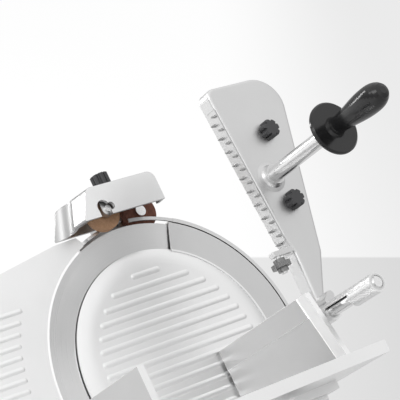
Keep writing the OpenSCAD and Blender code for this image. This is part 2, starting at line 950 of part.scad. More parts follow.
module blade_shaft() {
  spigot_h = 1;
  color(steel) slicing_frame() difference() {
    union() {
      translate([0, 0, shaft_back]) cylinder(h = hub_front - spigot_h - shaft_back, d = shaft_d);
      translate([0, 0, hub_front - hub_t]) cylinder(h = hub_t, d = hub_d);
      translate([0, 0, hub_front - spigot_h]) cylinder(h = 2 * spigot_h, d = hub_bore_d - 2 * run_fit);
    }
    translate([0, 0, shaft_back - cut_over]) cylinder(h = -shaft_back, d = tie_bore_d);
    blade_screw_places() translate([0, 0, hub_front - hub_t - cut_over])
      bore(hub_t + 2 * cut_over, blade_screw_d, run_fit);
  }
}

// Blade and its cover

module blade_screw_places() {
  for (i = [0 : 3]) rotate(45 + i * 90) translate([screw_circle_d / 2, 0]) children();
}

// The blade's half section: recessed centre, sloping band, bevel and a thin edge.
module blade_section() {
  hub_r = hub_bore_d / 2;
  dish_r = dish_d / 2;
  band_r = dish_r + 7;
  bevel_r = blade_r - bevel_w;
  band_drop = 1.8;
  bevel_drop = 0.6;
  back_r = blade_r - 10;
  polygon([[hub_r, -dish_depth], [dish_r, -dish_depth], [band_r, -band_drop], [bevel_r, -bevel_drop],
           [blade_r, 0], [blade_r, -edge_t], [back_r, -blade_t], [band_r, -band_drop - blade_t],
           [dish_r, hub_front], [hub_r, hub_front]]);
}

module blade() {
  color(steel) slicing_frame() difference() {
    rotate_extrude($fn = fine_fn) blade_section();
    blade_screw_places() translate([0, 0, hub_front - cut_over])
      bore(blade_t + 2 * cut_over, blade_screw_d, clear_fit);
  }
}

module blade_screws() {
  head_t = 0.8;
  color(steel) slicing_frame() blade_screw_places() translate([0, 0, -dish_depth])
    flat_screw(blade_screw_d, blade_t + hub_t, head_t);
}

// The disc's half section: a flat face that rolls over to a thin edge above the blade's band.
module cover_section() {
  flat_r = cover_flat_d / 2;
  edge_r = cover_d / 2;
  drop = cover_rise - cover_edge_t + 0.5;
  fall = edge_r - flat_r;
  roll_r = (fall * fall + drop * drop) / (2 * drop);
  difference() {
    union() {
      translate([0, cover_back]) square([flat_r, cover_rise - cover_back]);
      intersection() {
        translate([flat_r, cover_rise - roll_r]) circle(r = roll_r, $fn = fine_fn);
        translate([flat_r - eps, cover_back]) square([fall + eps, cover_rise - cover_back]);
      }
    }
    polygon([[dish_d / 2 - 3, cover_back - cut_over], [edge_r + cut_over, cover_back - cut_over],
             [edge_r + cut_over, -0.3], [edge_r - 1.5, -0.7]]);
  }
}

module cover_ribs() {
  for (i = [0 : cover_rib_count - 1]) {
    rib_up = (i - (cover_rib_count - 1) / 2) * cover_rib_pitch;
    half = sqrt(cover_rib_d * cover_rib_d / 4 - rib_up * rib_up);
    translate([0, rib_up, cover_rise]) rib(-half, half, cover_rib_w, cover_rib_h);
  }
}

module blade_cover() {
  thread = 7;
  lap = 2;
  color(aluminium) slicing_frame() difference() {
    union() {
      rotate_extrude($fn = fine_fn) cover_section();
      sweep(rim_low_angle, rim_top_angle)
        translate([cover_d / 2 - lap, rim_back]) square([rim_r - cover_d / 2 + lap, rim_t]);
      cover_ribs();
    }
    translate([0, 0, cover_back - cut_over]) bore(thread + cut_over, tie_rod_d, run_fit);
  }
}

module cover_tie_rod() {
  low = knob_boss_back - tie_knob_neck - knob_crown_h / 2;
  thread = 6;
  color(steel) slicing_frame() translate([0, 0, low]) cylinder(h = cover_back + thread - low, d = tie_rod_d);
}

module tie_knob() {
  color(black) slicing_frame() translate([0, 0, knob_boss_back - knob_gap]) rotate([180, 0, 0])
    difference() {
      union() {
        cylinder(h = tie_knob_neck, d = knob_d / 2);
        translate([0, 0, tie_knob_neck - cut_over]) lobed_knob(knob_d, knob_crown_h, 6);
      }
      translate([0, 0, -cut_over])
        bore(tie_knob_neck + knob_crown_h / 2 + 2 * cut_over, tie_rod_d, run_fit);
    }
}

// Ring guard

// The wall and the plate behind the blade.
module guard_section() {
  translate([guard_open_r, ring_plate_back]) square([ring_r - guard_open_r, ring_plate_t]);
  translate([ring_in_r, ring_plate_back]) square([ring_t, ring_front - ring_plate_back]);
}

module strap_section() {
  translate([strap_d / 2, ring_plate_back + seam])
    square([ring_r - seam - strap_d / 2, ring_plate_t - 2 * seam]);
}

module band_section() {
  translate([ring_in_r + seam, rim_back]) square([ring_t - 2 * seam, ring_front - rim_back - seam]);
}

module tail_section() {
  translate([ring_in_r + seam, ring_plate_back + 2 * seam])
    square([ring_t - 1, ring_front - ring_plate_back - 2 * seam]);
}

module ring_guard() {
  wall_end = rim_top_angle - 2;
  lap = 1.5;
  color(aluminium) slicing_frame() difference() {
    union() {
      sweep(rim_low_angle, wall_end) guard_section();
      sweep(wall_end - lap, tail_end_angle) strap_section();
      sweep(wall_end - lap, band_end_angle) band_section();
      sweep(tail_start_angle, tail_end_angle - seam) tail_section();
    }
    at_each(concat(guard_screw_places, post_screw_places), ring_plate_back - cut_over)
      bore(ring_plate_t + 2 * cut_over, guard_screw_d, clear_fit);
  }
}

module guard_screws() {
  head_t = 3;
  color(steel) slicing_frame() {
    at_each(concat(guard_screw_places, post_screw_places), ring_plate_back + ring_plate_t)
      flat_screw(guard_screw_d, ring_plate_t + guard_thread, head_t);
    for (up = deflector_holes) translate([deflector_flange, up, deflector_screw_n]) rotate([0, -90, 0])
      flat_screw(guard_screw_d, deflector_t + guard_thread, head_t);
    motor_pillars() translate([0, 0, motor_front]) rotate([180, 0, 0])
      flat_screw(guard_screw_d, bracket_t + guard_thread, head_t);
  }
}

// Curves away from the back of the blade and ends in a flange on the tower's two bosses.
module slice_deflector() {
  inner_r = deflector_bend_r - deflector_t;
  step = 6;
  outline = concat([for (turn = [0 : step : 90]) deflector_bend_r * [sin(turn), cos(turn)]],
                   [[deflector_bend_r, -deflector_flange_len], [inner_r, -deflector_flange_len]],
                   [for (turn = [90 : -step : 0]) inner_r * [sin(turn), cos(turn)]]);
  color(steel) slicing_frame() difference() {
    translate([deflector_tip, deflector_w / 2, deflector_front - deflector_bend_r]) rotate([90, 0, 0])
      linear_extrude(deflector_w) polygon(outline);
    for (up = deflector_holes) translate([deflector_flange - cut_over, up, deflector_screw_n]) to_x()
      bore(deflector_t + 2 * cut_over, guard_screw_d, clear_fit);
  }
}

// Gauge plate and its dial

module gauge_outline() {
  inner_edge = [[-90, -gauge_drop], [-60, 60]];
  outer_edge = [[gauge_corner - gauge_reach, gauge_top_end], [-gauge_reach, gauge_top_end - gauge_corner],
                [-gauge_reach, gauge_corner - gauge_drop], [gauge_corner - gauge_reach, -gauge_drop]];
  difference() {
    polygon(concat(inner_edge, gauge_top, outer_edge));
    circle(r = gauge_arc_r, $fn = fine_fn);
  }
}

module gauge_ribs() {
  border = 14;
  for (i = [0 : gauge_rib_count - 1]) {
    rib_up = gauge_rib_top - i * gauge_rib_pitch;
    inner = sqrt(gauge_rib_d * gauge_rib_d / 4 - rib_up * rib_up);
    translate([0, rib_up, gauge_face]) rib(border - gauge_reach, -inner, gauge_rib_w, gauge_rib_h);
  }
}

// Bosses for the two bars and the webs that stiffen the plate's back.
module gauge_back_form() {
  web_t = 8;
  web_len = 170;
  web_h = bar_boss_depth - 4;
  low = gauge_back - bar_boss_depth;
  put(bar_at, low)
    cylinder(h = bar_boss_depth + cut_over, d = gauge_bar_d + 2 * bar_boss_wall - 2);
  put(guide_at, low)
    cylinder(h = bar_boss_depth + cut_over, d = gauge_guide_d + 2 * guide_boss_wall);
  translate([guide_at[0], guide_at[1] - web_t / 2, gauge_back - web_h])
    cube([bar_at[0] - guide_at[0], web_t, web_h + cut_over]);
  translate([bar_at[0] - web_t / 2, bar_at[1], gauge_back - web_h]) cube([web_t, web_len, web_h + cut_over]);
}

module gauge_plate() {
  low = gauge_back - bar_boss_depth - cut_over;
  color(aluminium) slicing_frame() difference() {
    union() {
      translate([0, 0, gauge_back]) linear_extrude(gauge_t) gauge_outline();
      gauge_ribs();
      gauge_back_form();
    }
    put(bar_at, low) bore(gauge_back - low, gauge_bar_d, run_fit);
    put(guide_at, low) bore(gauge_back - low, gauge_guide_d, run_fit);
  }
}

module gauge_slide_bar() {
  low = follower_at - follower_d / 2 - 3;
  color(steel) slicing_frame() difference() {
    put(bar_at, low) cylinder(h = gauge_back - low, d = gauge_bar_d);
    translate([bar_at[0] - gauge_bar_d, bar_at[1], follower_at]) to_x()
      bore(1.25 * gauge_bar_d, follower_d, run_fit);
  }
}

module gauge_guide_bar() {
  low = boss_low - 2;
  color(steel) slicing_frame() put(guide_at, low)
    cylinder(h = gauge_back - low, d = gauge_guide_d);
}

module follower_pin() {
  color(steel) slicing_frame() translate([cam_along - 1, bar_at[1], follower_at]) to_x()
    cylinder(h = bar_at[0] + 4 - cam_along, d = follower_d);
}

module thickness_knob() {
  crown_d = dial_d - 10;
  color(black) slicing_frame() translate([front_face - knob_gap, bar_at[1], cam_axis]) rotate([0, -90, 0])
    difference() {
      union() {
        cylinder(h = dial_flange_t, d = dial_d);
        translate([0, 0, dial_flange_t - cut_over])
          lobed_knob(crown_d, dial_h - dial_flange_t + cut_over, 9);
      }
      translate([0, 0, -cut_over]) bore(dial_h - dial_flange_t, dial_shaft_d, run_fit);
    }
}

module dial_shaft() {
  low = front_face - dial_h + 9;
  color(steel) slicing_frame() translate([low, bar_at[1], cam_axis]) to_x()
    cylinder(h = cam_along + cam_t - low, d = dial_shaft_d);
}

// The cam's radius falls evenly as the dial turns from thin to thick slices.
function cam_point(turn) = (cam_r - slice_max * turn / dial_turn) * [cos(90 - turn), sin(90 - turn)];

module snail_cam() {
  run_on = 16;
  step = 4;
  outline = [for (turn = [-run_on : step : dial_turn + run_on]) cam_point(turn)];
  color(bronze) slicing_frame() translate([cam_along, bar_at[1], cam_axis]) rotate([90, 0, 90])
    difference() {
      linear_extrude(cam_t) polygon(outline);
      translate([0, 0, -cut_over]) bore(cam_t + 2 * cut_over, dial_shaft_d, run_fit);
    }
}

// Carriage

module base_rail(x, diameter) {
  color(chrome) machine_frame() translate([x, base_wall - base_front, rail_z]) to_y()
    cylinder(h = base_front + base_rear - 2 * base_wall, d = diameter);
}

module carriage_rail() {
  base_rail(rail_x, rail_d);
}

module guide_bar() {
  base_rail(guide_x, guide_bar_d);
}

module slide_block() {
  fork_w = 40;
  fork_h = 28;
  fork_reach = 12;
  fork_gap = guide_bar_d + 2 * clear_fit;
  neck_root = 10;
  end_bore = bush_len + cut_over;
  color(dark) machine_frame() difference() {
    union() {
      translate([rail_x - block_w / 2, -block_len / 2, rail_z - block_h / 2])
        cube([block_w, block_len, block_h]);
      translate([guide_x - fork_reach, -fork_w / 2, rail_z - fork_h / 2])
        cube([rail_x - guide_x, fork_w, fork_h]);
      translate([rail_x + neck_root, -neck_w / 2, rail_z - neck_h / 2])
        cube([arm_x - rail_x - neck_root, neck_w, neck_h]);
    }
    translate([rail_x, -block_len / 2 - cut_over, rail_z]) to_y() {
      cylinder(h = block_len + 2 * cut_over, d = rail_d + 3);
      bore(end_bore, bush_d, run_fit);
      translate([0, 0, block_len - bush_len + cut_over]) bore(end_bore + cut_over, bush_d, run_fit);
    }
    translate([guide_x - fork_reach - cut_over, -fork_w / 2 - cut_over, rail_z - fork_gap / 2])
      cube([fork_reach + guide_bar_d, fork_w + 2 * cut_over, fork_gap]);
  }
}

module rail_bushes() {
  color(bronze) machine_frame() for (y = [-block_len / 2, block_len / 2 - bush_len])
    translate([rail_x, y, rail_z]) to_y() tube(bush_d, rail_d + 2 * run_fit, bush_len);
}

module carriage_arm() {
  inset = 6;
  root_h = 34;
  neck_from = 122;
  neck_len = 30;
  boss_d = 26;
  color(aluminium) difference() {
    union() {
      machine_frame() translate([arm_x, -neck_w / 2, rail_z - root_h / 2]) cube([arm_t, neck_w, root_h]);
      hull() {
        machine_frame() translate([arm_x, inset - neck_w / 2, rail_z + inset])
          cube([arm_t, neck_w - 2 * inset, inset]);
        slicing_frame() translate([inset - neck_w / 2, floor_low - 1.5 * arm_head_t, neck_from])
          cube([neck_w - 2 * inset, arm_head_t, neck_len]);
      }
      slicing_frame() translate([-neck_w / 2, floor_low - arm_head_t, arm_head_from])
        cube([neck_w, arm_head_t, arm_head_to - arm_head_from]);
      machine_frame() translate([arm_x + 4, 0, tray_knob_z]) to_x()
        cylinder(h = knob_seat - 4, d = boss_d);
    }
    machine_frame() translate([arm_x + 8, 0, tray_knob_z]) to_x()
      bore(knob_seat, tray_knob_stem_d, run_fit);
  }
}

module tray_knob() {
  stem = 22;
  color(black) machine_frame() translate([arm_x + knob_seat + knob_gap, 0, tray_knob_z]) to_x() {
    cylinder(h = tray_knob_neck, d = 0.45 * knob_d);
    translate([0, 0, tray_knob_neck - cut_over]) lobed_knob(knob_d, knob_crown_h, 6);
    translate([0, 0, -stem]) cylinder(h = stem + cut_over, d = tray_knob_stem_d);
  }
}

// An upright slab along the blade's axis with a slanted end, its face on the tray's side.
module fence_slab(face, thickness, low, top) {
  end_low = fence_end + (-fence_top_drop - low) * tan(fence_slant);
  end_top = fence_end + (-fence_top_drop - top) * tan(fence_slant);
  translate([face + thickness, 0, 0]) rotate([0, -90, 0]) linear_extrude(thickness)
    polygon([[tray_gap, low], [end_low, low], [end_top, top], [tray_gap, top]]);
}

// The rear fence, with a raised bead along its top and a flared end.
module rear_fence() {
  bead = 0.8;
  spare = 20;
  flare_h = fence_h / cos(fence_slant);
  fence_slab(fence_at, fence_t, floor_low, -fence_top_drop);
  fence_slab(fence_at - bead, 2 * bead, -fence_bead_drop, -fence_top_drop - seam);
  intersection() {
    translate([fence_at + seam, -fence_top_drop, fence_end]) rotate([-fence_slant, 0, 0])
      rotate([0, -flare_angle, 0]) translate([0, -flare_h - spare, -cut_over])
        cube([fence_t - 2 * cut_over, flare_h + 2 * spare, flare_len + cut_over]);
    translate([fence_at - spare, floor_low + seam, tray_gap])
      cube([fence_t + 2 * spare, fence_h - 2 * seam, 2 * fence_foot]);
  }
}

module tray_ribs() {
  from = 14;
  length = tray_len - 40;
  for (i = [0 : tray_rib_count - 1])
    translate([front_fence_at + tray_rib_pitch * (i + 0.75), floor_low + tray_t, tray_gap + from])
      rotate([0, -90, -90]) rib(0, length, tray_rib_w, tray_rib_h);
}

module carriage_tray() {
  outer_w = tray_w + 2 * fence_t;
  front_fence_len = tray_len - 16;
  web_h = 20;
  color(aluminium) slicing_frame() difference() {
    union() {
      translate([front_fence_at - fence_t, floor_low, tray_gap]) cube([outer_w, tray_t, tray_len]);
      rear_fence();
      translate([front_fence_at - fence_t, floor_low, tray_gap])
        cube([fence_t, front_fence_top - floor_low, front_fence_len]);
      translate([front_fence_at - fence_t, floor_low, tray_end - fence_t])
        cube([outer_w, tray_lip_h, fence_t]);
      tray_ribs();
      translate([rod_at, -rod_drop, tray_gap + 1]) cylinder(h = rod_boss_len, d = rod_boss_d);
      translate([fence_at + fence_t - cut_over, -rod_drop - web_h / 2, tray_gap + 1])
        cube([rod_at - fence_at - fence_t + cut_over, web_h, rod_boss_len]);
    }
    translate([rod_at, -rod_drop, rod_seat]) bore(2 * rod_boss_len, rod_d, run_fit);
  }
}

module pusher_rod() {
  straight = rod_end - rod_seat - rod_chamfer;
  color(chrome) slicing_frame() translate([rod_at, -rod_drop, rod_seat]) {
    cylinder(h = straight, d = rod_d);
    translate([0, 0, straight - eps]) cylinder(h = rod_chamfer, d1 = rod_d, d2 = rod_d - 2 * rod_chamfer);
  }
}

// Pusher

module slide_bushes() {
  high_from = window_from + window_len;
  color(steel) slicing_frame() translate([rod_at, -rod_drop, sleeve_low]) {
    tube(slide_bush_d, rod_d + 2 * run_fit, window_from);
    translate([0, 0, high_from]) tube(slide_bush_d, rod_d + 2 * run_fit, sleeve_len - high_from);
  }
}

// The sleeve slides on the rod; a window in its lower side shows the rod.
module pusher_sleeve() {
  room = 2 * sleeve_d;
  color(aluminium) slicing_frame() translate([rod_at, -rod_drop, sleeve_low]) difference() {
    cylinder(h = sleeve_len, d = sleeve_d);
    translate([0, 0, -cut_over]) bore(sleeve_len + 2 * cut_over, slide_bush_d, run_fit);
    translate([-room / 2, window_top - room, window_from]) cube([room, room, window_len]);
  }
}

// A round corner of the plate whose back edge is rounded.
module pusher_corner(at, radius) {
  put(at, pusher_front) soft_post(radius, pusher_t, min(pusher_edge_r, radius - 0.5));
}

// A broad head behind the toothed edge, a slanted shoulder under it, and a narrow leg.
module pusher_form() {
  head_r = 30;
  head_at = 114;
  edge_r = 10;
  hull() {
    pusher_corner([tooth_edge + edge_r, pusher_top - edge_r], edge_r);
    pusher_corner([head_at, pusher_top - head_r], head_r);
    pusher_corner(waist, 6);
    pusher_corner(strip_foot, 5);
  }
  hull() {
    pusher_corner(strip_foot, 5);
    pusher_corner(leg_top, 5.5);
    pusher_corner(waist, 6);
  }
  hull() {
    pusher_corner(leg_top, 5.5);
    pusher_corner(waist, 6);
    pusher_corner(leg_foot, 5);
  }
}

// The foot stands on the sleeve and is cut to its curve.
module pusher_foot() {
  foot_r = 4.5;
  foot_low = pusher_front + 4;
  difference() {
    hull() {
      put(leg_foot, foot_low)
        cylinder(h = sleeve_low + window_from - foot_low, r = foot_r, $fn = soft_fn);
      translate([rod_at, sleeve_d / 2 - rod_drop, sleeve_low])
        cylinder(h = window_from, r = foot_r, $fn = soft_fn);
    }
    translate([rod_at, -rod_drop, sleeve_low - sleeve_d]) bore(sleeve_len, sleeve_d, seat_gap);
  }
}

// The flared collar from which the handle's rod rises.
module handle_collar() {
  collar_h = 9;
  foot_r = handle_rod_d;
  neck_r = 0.65 * handle_rod_d;
  put(handle_at, pusher_back - cut_over) rotate_extrude()
    polygon([[0, 0], [foot_r, 0], [foot_r, 1.2], [foot_r - 3.5, 2.4], [neck_r + 0.6, 5], [neck_r, collar_h],
             [0, collar_h]]);
}

// Along the toothed edge: up its length, and away from the plate to the front.
module tooth_frame() {
  translate([tooth_edge, strip_top, strip_mid]) rotate([0, 0, tooth_lean]) children();
}

module pusher_cuts() {
  strip_room = 0.5;
  star_thread = 10;
  put(handle_at, pusher_back - handle_seat)
    bore(2 * handle_seat + 10, handle_rod_d, run_fit);
  at_each([upper_star_at, lower_star_at], pusher_back - star_thread) bore(2 * star_thread, stud_d, run_fit);
  tooth_frame() translate([-5, -strip_len - strip_room, -strip_w / 2 - strip_room])
    cube([strip_t + 5, strip_len + 2 * strip_room, strip_w + 2 * strip_room]);
  translate([stud_at[0], lug_low - cut_over, stud_at[1]]) to_y() bore(lug_t + 2 * cut_over, stud_d, run_fit);
}

module pusher_plate() {
  lug_reach = 12;
  lug_root = 70;
  lug_w = 9;
  color(aluminium) slicing_frame() difference() {
    union() {
      pusher_form();
      pusher_foot();
      handle_collar();
      translate([tooth_edge - lug_reach, lug_low, stud_at[1] - lug_w / 2 - 1])
        cube([lug_root - tooth_edge + lug_reach, lug_t, lug_w]);
    }
    pusher_cuts();
  }
}

// Two rows of teeth, set half a pitch apart.
module tooth_strip() {
  first = 6;
  root_d = 3.6;
  tip_d = 1.2;
  color(steel) slicing_frame() tooth_frame() {
    translate([0, -strip_len, -strip_w / 2]) cube([strip_t, strip_len, strip_w]);
    for (i = [0 : tooth_count - 1], row = [0, 1])
      translate([eps, -first - (i + (1 - row) / 2) * tooth_pitch, (row - 0.5) * strip_w / 2])
        rotate([0, -90, 0]) cylinder(h = tooth_h, d1 = root_d, d2 = tip_d, $fn = 24);
  }
}

// The rod ends in a thinner stud that holds the disc and the grip.
module handle_rod() {
  low = pusher_back - handle_seat;
  color(chrome) slicing_frame() put(handle_at, low) {
    cylinder(h = guard_at - low, d = handle_rod_d);
    cylinder(h = guard_at + guard_t + grip_seat - low, d = handle_stud_d);
  }
}

module guard_disc() {
  guard_r = guard_d / 2;
  rim = 1.5;
  color(black) slicing_frame() put(handle_at, guard_at) difference() {
    rotate_extrude() polygon([[0, 0], [guard_r - rim, 0], [guard_r, rim], [guard_r, guard_t - rim],
                              [guard_r - rim, guard_t], [0, guard_t]]);
    translate([0, 0, -cut_over]) bore(guard_t + 2 * cut_over, handle_stud_d, run_fit);
  }
}

// The grip flares at its foot, swells from its neck to a bulb and closes in a rounded end.
function grip_foot(s) = s < foot_share ? foot_swell * pow(1 - s / foot_share, 2) : 0;
function grip_r(s) = s < bulb_share
  ? grip_foot(s) + grip_neck_d / 2 + (grip_d - grip_neck_d) * (1 - cos(180 * s / bulb_share)) / 4
  : grip_d / 2 * pow(max(0, 1 - pow((s - bulb_share) / (1 - bulb_share), 2.6)), 0.5);

module handle_grip() {
  steps = 25;
  dimple_d = 10;
  dimple_h = 1.5;
  outline = concat([[0, 0]], [for (i = [0 : steps]) [grip_r(i / steps), grip_len * i / steps]]);
  color(black) slicing_frame() put(handle_at, guard_at + guard_t) difference() {
    rotate_extrude() polygon(outline);
    translate([0, 0, -cut_over]) bore(grip_seat + 2 * cut_over, handle_stud_d, run_fit);
    translate([0, 0, grip_len - dimple_h]) cylinder(h = dimple_h + cut_over, d = dimple_d);
  }
}

module star_knob(at) {
  stem = 9;
  color(black) slicing_frame() put(at, pusher_back + knob_gap) {
    lobed_knob(star_d, star_h, 7);
    translate([0, 0, -stem]) cylinder(h = stem + cut_over, d = stud_d);
  }
}

module upper_star_knob() {
  star_knob(upper_star_at);
}

module lower_star_knob() {
  star_knob(lower_star_at);
}

module strip_stud() {
  low = 22;
  color(steel) slicing_frame() translate([stud_at[0], low, stud_at[1]]) to_y()
    cylinder(h = lug_low + lug_t - low - 1, d = stud_d);
}

module strip_nut() {
  knurls = 24;
  collar_h = 4;
  color(chrome) slicing_frame() translate([stud_at[0], nut_low, stud_at[1]]) to_y() difference() {
    union() {
      linear_extrude(nut_t) difference() {
        circle(d = nut_d);
        for (i = [0 : knurls - 1]) rotate(i * 360 / knurls)
          translate([nut_d / 2 + 0.3, 0]) circle(d = 1.6, $fn = 16);
      }
      cylinder(h = nut_t + collar_h, d = 0.6 * nut_d);
      translate([0, 0, -collar_h]) cylinder(h = 2 * collar_h, d = 0.55 * nut_d);
    }
    translate([0, 0, -collar_h - cut_over]) bore(nut_t + 3 * collar_h, stud_d, run_fit);
  }
}

// Sharpener

module sharpener_post() {
  color(chrome) slicing_frame() difference() {
    union() {
      translate([post_at[0], post_low, post_at[1]]) to_y()
        cylinder(h = sharp_top - 10 - post_low, d = post_d);
      translate([post_at[0] - post_block[0] / 2, post_low, ring_plate_back - post_block[2]])
        cube(post_block);
    }
    at_each(post_screw_places, ring_plate_back - guard_thread - cut_over)
      bore(guard_thread + 2 * cut_over, guard_screw_d, run_fit);
  }
}

// An upright slice of the housing: two round upper corners over a foot that spreads to the left.
module sharp_slab(inset, low, at, depth, left, right, flare) {
  corner_r = sharp_corner_r - inset;
  top = sharp_top - inset - corner_r;
  foot_left = left - flare + inset;
  for (along = [left + inset + corner_r, right - inset - corner_r])
    translate([along, top, at]) cylinder(h = depth, r = corner_r, $fn = soft_fn);
  translate([foot_left, low, at]) cube([right - inset - foot_left, 2, depth]);
}

// The body behind the front face, and the deeper part round the post.
module sharp_body(inset, low) {
  slab_t = 8;
  hull() {
    sharp_slab(inset, low, sharp_face - inset - slab_t, slab_t, sharp_left, sharp_right, sharp_flare);
    sharp_slab(inset, low, sharp_back + inset, slab_t, sharp_left - sharp_splay, sharp_right, sharp_flare);
  }
  hull() {
    sharp_slab(inset + seam, low, sharp_back + inset + seam, slab_t, sharp_post_left, sharp_right, 0);
    sharp_slab(inset + seam, low, sharp_post_back + inset, slab_t, sharp_post_left, sharp_right, 0);
  }
}

// A round channel down the left end wall; the wall keeps its thickness behind it.
module flute(grow) {
  spare = 20;
  translate([flute_at, sharp_low, flute_n]) rotate([0, 0, -sharp_lean]) translate([0, -spare, 0]) to_y()
    cylinder(h = sharp_h + 2 * spare, r = flute_r + grow, $fn = fine_fn);
}

module sharp_shell() {
  difference() {
    sharp_body(0, sharp_low);
    flute(0);
    difference() {
      sharp_body(sharp_wall, sharp_low - 10);
      flute(sharp_wall);
    }
  }
}

// The post's sleeve, the grinding spindle's lug and the honing spindle's boss.
module sharp_bearings() {
  boss_d = spindle_d + 2 * spindle_boss_wall;
  translate([post_at[0], sharp_low + 4, post_at[1]]) to_y() cylinder(h = sharp_h - 8, d = post_d + 9);
  put(grind_at, spindle_lug_back) {
    cylinder(h = spindle_lug_t, d = boss_d);
    translate([-boss_d / 2, 0, 0]) cube([boss_d, sharp_top - sharp_wall / 2 - grind_at[1], spindle_lug_t]);
  }
  translate([hone_at[0], hone_at[1] + 4, sharp_post_back + 1]) cylinder(h = 10, d = boss_d);
}

// A round hole over a slot that runs out of the front wall's lower edge.
module keyhole() {
  depth = sharp_wall + 2 * cut_over;
  put(keyhole_at, sharp_face - sharp_wall - cut_over) {
    cylinder(h = depth, d = keyhole_d);
    translate([-keyhole_w / 2, sharp_low - cut_over - keyhole_at[1], 0])
      cube([keyhole_w, keyhole_at[1] - sharp_low + cut_over, depth]);
  }
}

module sharpener_housing() {
  window_h = sharp_h - 8;
  window_reach = 40;
  spindle_bore = 30;
  color(aluminium) slicing_frame() difference() {
    union() {
      sharp_shell();
      sharp_bearings();
    }
    translate([post_at[0], sharp_low - cut_over, post_at[1]]) to_y() bore(sharp_h - 8, post_d, run_fit);
    put(grind_at, spindle_lug_back - cut_over) bore(spindle_bore, spindle_d, run_fit);
    put(hone_at, sharp_post_back - cut_over) bore(spindle_bore, spindle_d, run_fit);
    translate([post_at[0], sharp_low, post_at[1]]) to_y() bore(2 * sharp_h, stud_d, run_fit);
    translate([sharp_right - 6, sharp_low - cut_over, hone_front - stone_t - 6])
      cube([window_reach, window_h, stone_t + 30]);
    keyhole();
  }
}

module sharpener_knob() {
  neck = lock_h / 2;
  stem = 3;
  color(black) slicing_frame() translate([post_at[0], sharp_top - seam + knob_gap, post_at[1]]) to_y() {
    cylinder(h = neck, d = 0.65 * lock_d);
    translate([0, 0, neck - cut_over]) lobed_knob(lock_d, lock_h - neck + cut_over, 7);
    translate([0, 0, -stem]) cylinder(h = stem + cut_over, d = stud_d);
  }
}

module grinding_spindle() {
  proud = 1.5;
  low = grind_back - 2;
  color(chrome) slicing_frame() put(grind_at, low)
    cylinder(h = spindle_lug_back + spindle_lug_t + proud - low, d = spindle_d);
}

module honing_spindle() {
  head_t = 2.2;
  low = sharp_post_back + 1;
  color(chrome) slicing_frame() put(hone_at, 0) {
    translate([0, 0, low]) cylinder(h = hone_front + 2 - low - 1, d = spindle_d);
    translate([0, 0, hone_front + plate_gap / 4]) cylinder(h = head_t, d = spindle_d + 4);
  }
}

module grinding_stone() {
  color(tan_stone) slicing_frame() put(grind_at, grind_back)
    tube(grind_d, spindle_d + 2 * run_fit, stone_t);
}

module honing_stone() {
  color(brown_stone) slicing_frame() put(hone_at, hone_front - stone_t)
    tube(hone_d, spindle_d + 2 * run_fit, stone_t);
}

// Switches and inlet

module switch_panel() {
  color(black) machine_frame() difference() {
    translate([panel_x - panel_w / 2, front_face - panel_t, panel_z - panel_h / 2])
      cube([panel_w, panel_t, panel_h]);
    for (side = [-1, 1])
      translate([panel_x + side * button_gap / 2, front_face - panel_t - cut_over, panel_z]) to_y()
        bore(panel_t + 2 * cut_over, button_d, clear_fit);
  }
}

// A round button with a collar that stops behind the panel.
module push_button(side) {
  shank = 4;
  reach = panel_t + button_h;
  machine_frame() translate([panel_x + side * button_gap / 2, front_face - reach, panel_z]) to_y() {
    cylinder(h = reach + base_wall + shank, d = button_d);
    translate([0, 0, reach + seam]) cylinder(h = base_wall, d = button_d + 2 * button_collar);
  }
}

module start_button() {
  color(green) push_button(-1);
}

module stop_button() {
  color(red) push_button(1);
}

// An open-fronted box behind the buttons.
module terminal_box() {
  outer_w = panel_w - 12;
  outer_h = panel_h - 6;
  color(dark) machine_frame() translate([panel_x, front_face + base_wall, panel_z]) difference() {
    translate([-outer_w / 2, 0, -outer_h / 2]) cube([outer_w, box_depth, outer_h]);
    translate([box_wall - outer_w / 2, -cut_over, box_wall - outer_h / 2])
      cube([outer_w - 2 * box_wall, box_depth - box_wall + cut_over, outer_h - 2 * box_wall]);
  }
}

module cable_gland() {
  nut_h = 8;
  flange_d = 24;
  flange_h = 6;
  color(black) machine_frame() translate([gland_x, base_rear - base_wall - nut_h, gland_z]) to_y()
    difference() {
      union() {
        cylinder(h = nut_h + base_wall + 2, d = gland_thread_d);
        cylinder(h = nut_h, d = flange_d - 2, $fn = 6);
        translate([0, 0, nut_h + base_wall]) {
          cylinder(h = flange_h, d = flange_d, $fn = 6);
          cylinder(h = gland_len, d1 = gland_thread_d + 4, d2 = gland_thread_d - 2);
        }
      }
      translate([0, 0, -cut_over]) {
        cylinder(h = nut_h + base_wall + gland_len + 2 * cut_over, d = gland_bore_d);
        cylinder(h = nut_h + base_wall + plate_gap + cut_over, d = gland_bore_d + 2);
      }
    }
}

base_casting();
bottom_plate();
rubber_feet();
foot_screws();
motor_tower();
tower_screws();
motor_bracket();
motor_body();
shaft_bearings();
drive_belt();
ring_guard();
guard_screws();
blade_cover();
cover_tie_rod();
slice_deflector();
carriage_rail();
guide_bar();
sharpener_post();
switch_panel();
terminal_box();
cable_gland();
blade();
blade_shaft();
driven_pulley();
blade_screws();
motor_rotor();
drive_pulley();
tie_knob();
gauge_plate();
gauge_slide_bar();
gauge_guide_bar();
follower_pin();
thickness_knob();
dial_shaft();
snail_cam();
carriage_tray();
carriage_arm();
slide_block();
rail_bushes();
pusher_rod();
tray_knob();
slide_bushes();
pusher_sleeve();
pusher_plate();
tooth_strip();
handle_rod();
guard_disc();
handle_grip();
strip_stud();
upper_star_knob();
lower_star_knob();
strip_nut();
sharpener_housing();
grinding_spindle();
honing_spindle();
sharpener_knob();
grinding_stone();
honing_stone();
start_button();
stop_button();
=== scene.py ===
"""Looks of an electric food slicer: finishes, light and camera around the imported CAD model."""
import json
import math

